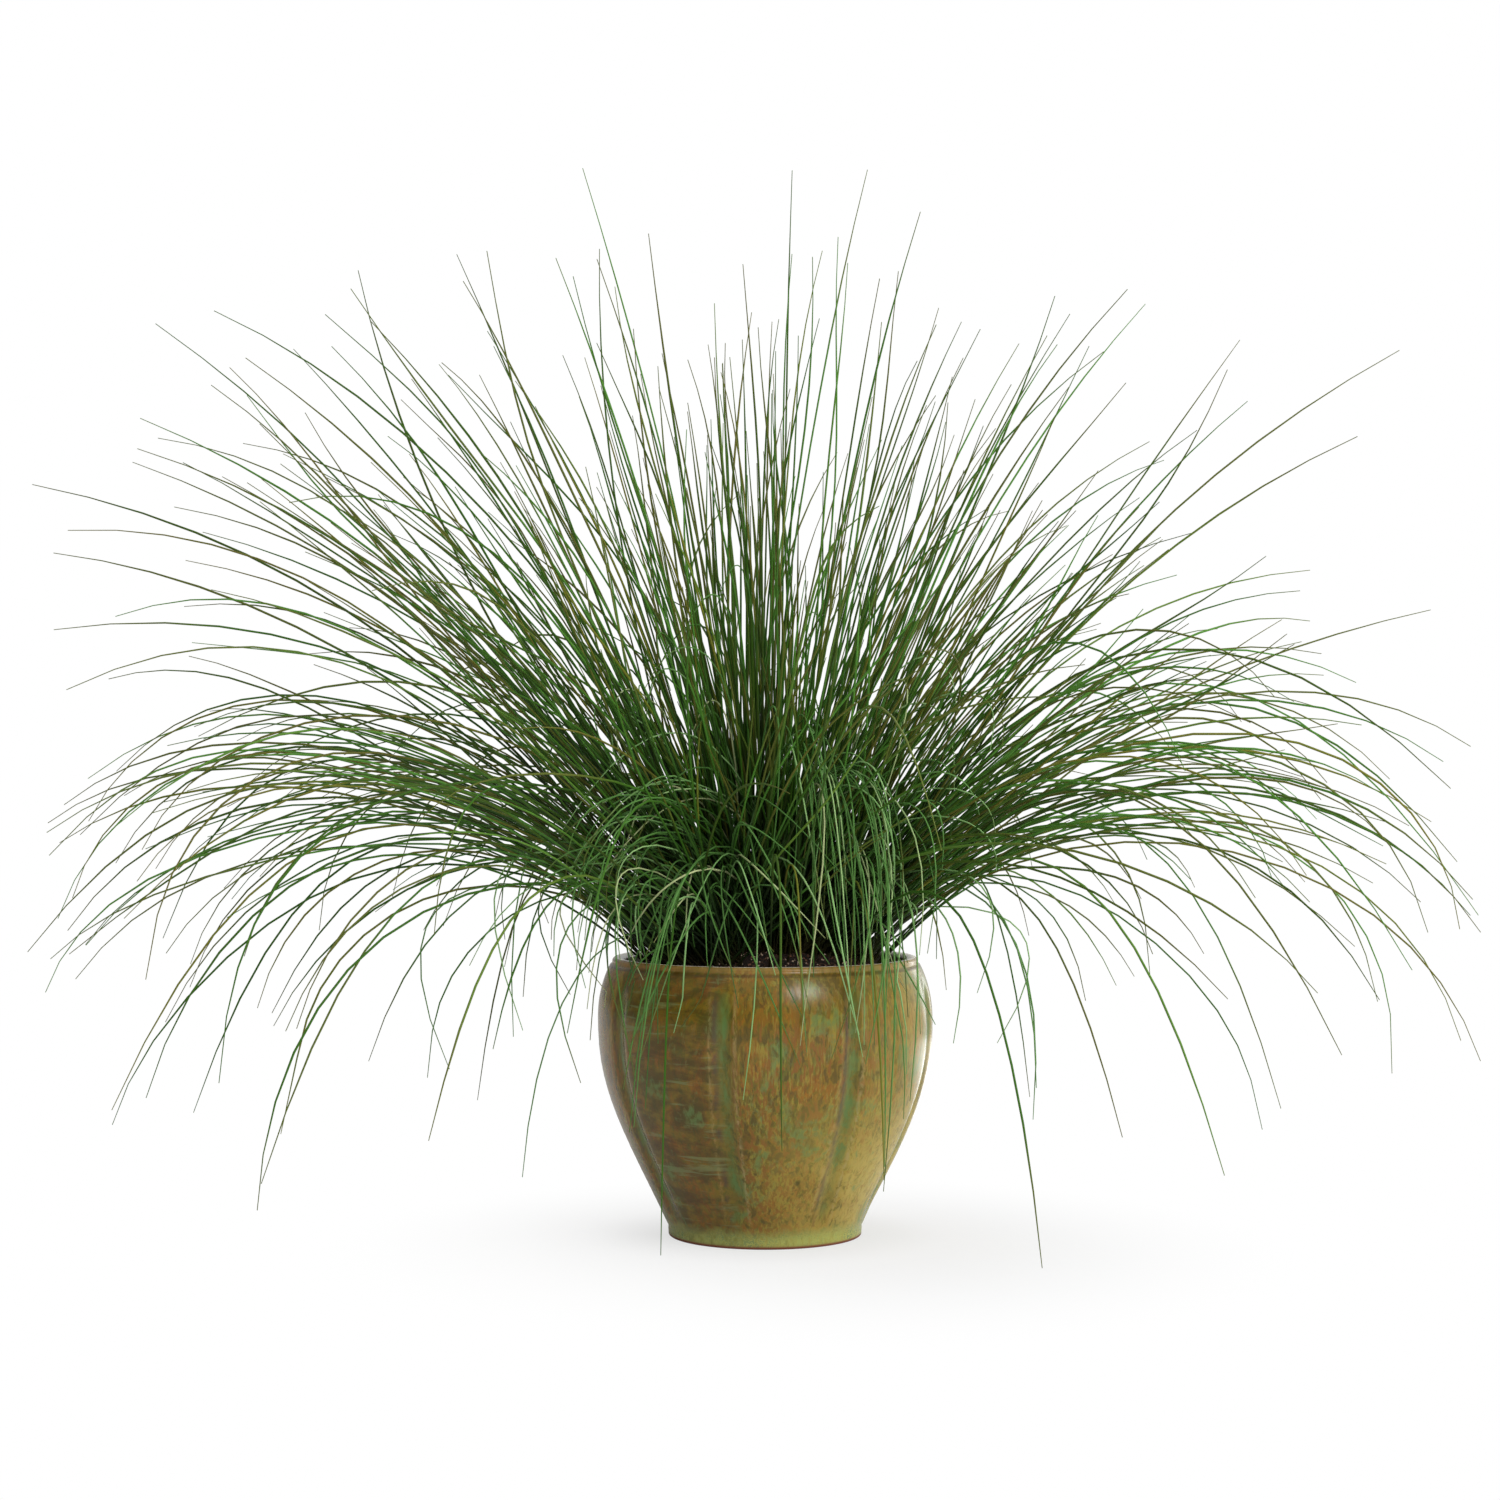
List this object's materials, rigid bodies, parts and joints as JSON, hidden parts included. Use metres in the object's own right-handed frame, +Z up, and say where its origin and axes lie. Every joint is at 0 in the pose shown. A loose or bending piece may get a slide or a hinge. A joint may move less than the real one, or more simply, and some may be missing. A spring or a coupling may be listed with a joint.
{
  "type": "potted soft rush",
  "caption": "Fountain of fine round green stems growing from a mound of potting soil in a lobed glazed pot that stands on its foot ring.",
  "frame": {"origin": "on the ground at the centre of the pot's foot, which is the centre of the object's footprint", "axes": "+Z up, -Y towards the front, +X towards the front's right, along the widest spread of the stems"},
  "size_m": [1.3005, 1.0008, 0.9732],
  "materials": {
    "glaze": "glossy mottled glaze of rust, ochre and olive green, with green pooled in the pressed grooves and round the foot",
    "peat": "dark crumbly potting soil with pale specks",
    "stem_green": "satin mid to dark green, paler and browner towards the tips"
  },
  "bodies": {
    "root": {"pot": "glaze", "potting_soil": "peat", "stem_right_01": "stem_green", "stem_right_02": "stem_green", "stem_right_03": "stem_green", "stem_right_04": "stem_green", "stem_right_05": "stem_green", "stem_right_06": "stem_green", "stem_right_07": "stem_green", "stem_right_08": "stem_green", "stem_right_09": "stem_green", "stem_right_10": "stem_green", "stem_right_11": "stem_green", "stem_right_12": "stem_green", "stem_right_13": "stem_green", "stem_right_14": "stem_green", "stem_left_01": "stem_green", "stem_left_02": "stem_green", "stem_left_03": "stem_green", "stem_left_04": "stem_green", "stem_left_05": "stem_green", "stem_left_06": "stem_green", "stem_left_07": "stem_green", "stem_left_08": "stem_green", "stem_left_09": "stem_green", "stem_left_10": "stem_green", "stem_left_11": "stem_green", "stem_left_12": "stem_green", "stem_left_13": "stem_green", "stem_left_14": "stem_green", "stem_left_15": "stem_green", "stem_left_16": "stem_green", "stem_upright_01": "stem_green", "stem_upright_02": "stem_green", "stem_upright_03": "stem_green", "stem_upright_04": "stem_green", "stem_upright_05": "stem_green", "stem_upright_06": "stem_green", "stem_upright_07": "stem_green", "stem_front_01": "stem_green", "stem_front_02": "stem_green", "stem_front_03": "stem_green", "stem_front_04": "stem_green", "stem_front_05": "stem_green", "stem_front_06": "stem_green", "stem_front_07": "stem_green", "stem_front_08": "stem_green", "stem_front_09": "stem_green", "stem_back_01": "stem_green", "stem_back_02": "stem_green", "stem_back_03": "stem_green", "stem_back_04": "stem_green", "stem_back_05": "stem_green", "stem_back_06": "stem_green", "stem_back_07": "stem_green", "stem_back_08": "stem_green", "stem_back_09": "stem_green", "stem_back_10": "stem_green", "stem_back_11": "stem_green", "stem_back_12": "stem_green"}
  },
  "joints": []
}
